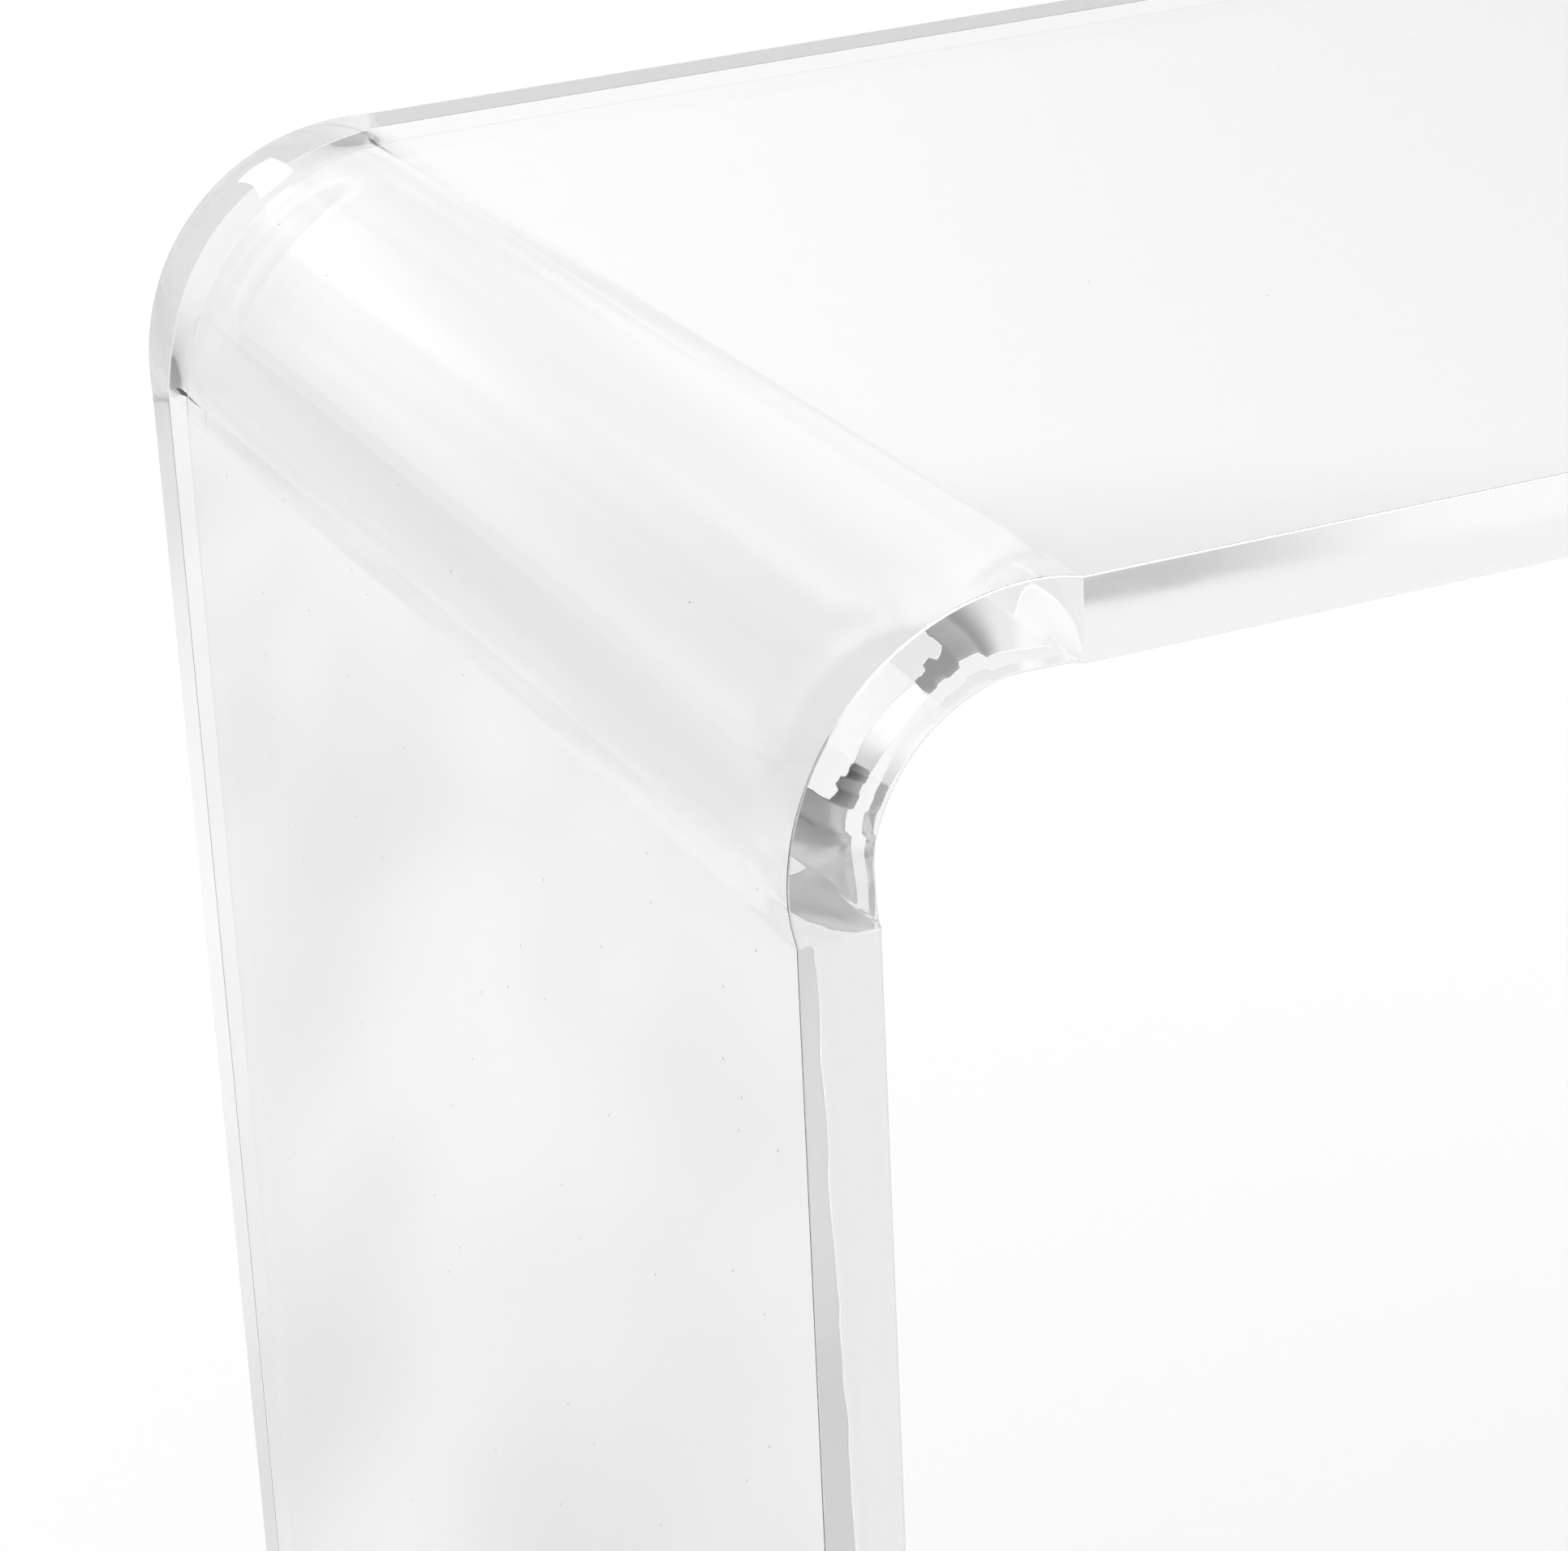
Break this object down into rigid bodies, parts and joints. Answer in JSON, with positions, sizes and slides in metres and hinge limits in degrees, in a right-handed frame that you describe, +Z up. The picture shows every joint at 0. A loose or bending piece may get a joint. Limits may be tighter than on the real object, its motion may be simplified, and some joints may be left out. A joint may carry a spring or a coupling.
{
  "type": "console table",
  "caption": "Clear acrylic waterfall console table: a single thick sheet bent down at both ends into slab legs, with soft round bends and small clear pads under the legs.",
  "frame": {"origin": "on the floor, under the middle of the table", "axes": "+X along the table's length, +Y towards its back, +Z up"},
  "size_m": [1.22, 0.41, 0.762],
  "materials": {
    "clear_acrylic": "clear, polished",
    "clear_pad": "clear, satin",
    "clear_tape": "clear, matt"
  },
  "bodies": {
    "root": {"bent_sheet": "clear_acrylic", "pad_front_left": "clear_pad", "pad_front_right": "clear_pad", "pad_back_left": "clear_pad", "pad_back_right": "clear_pad", "tape_front_left": "clear_tape", "tape_front_right": "clear_tape", "tape_back_left": "clear_tape", "tape_back_right": "clear_tape"}
  },
  "joints": []
}
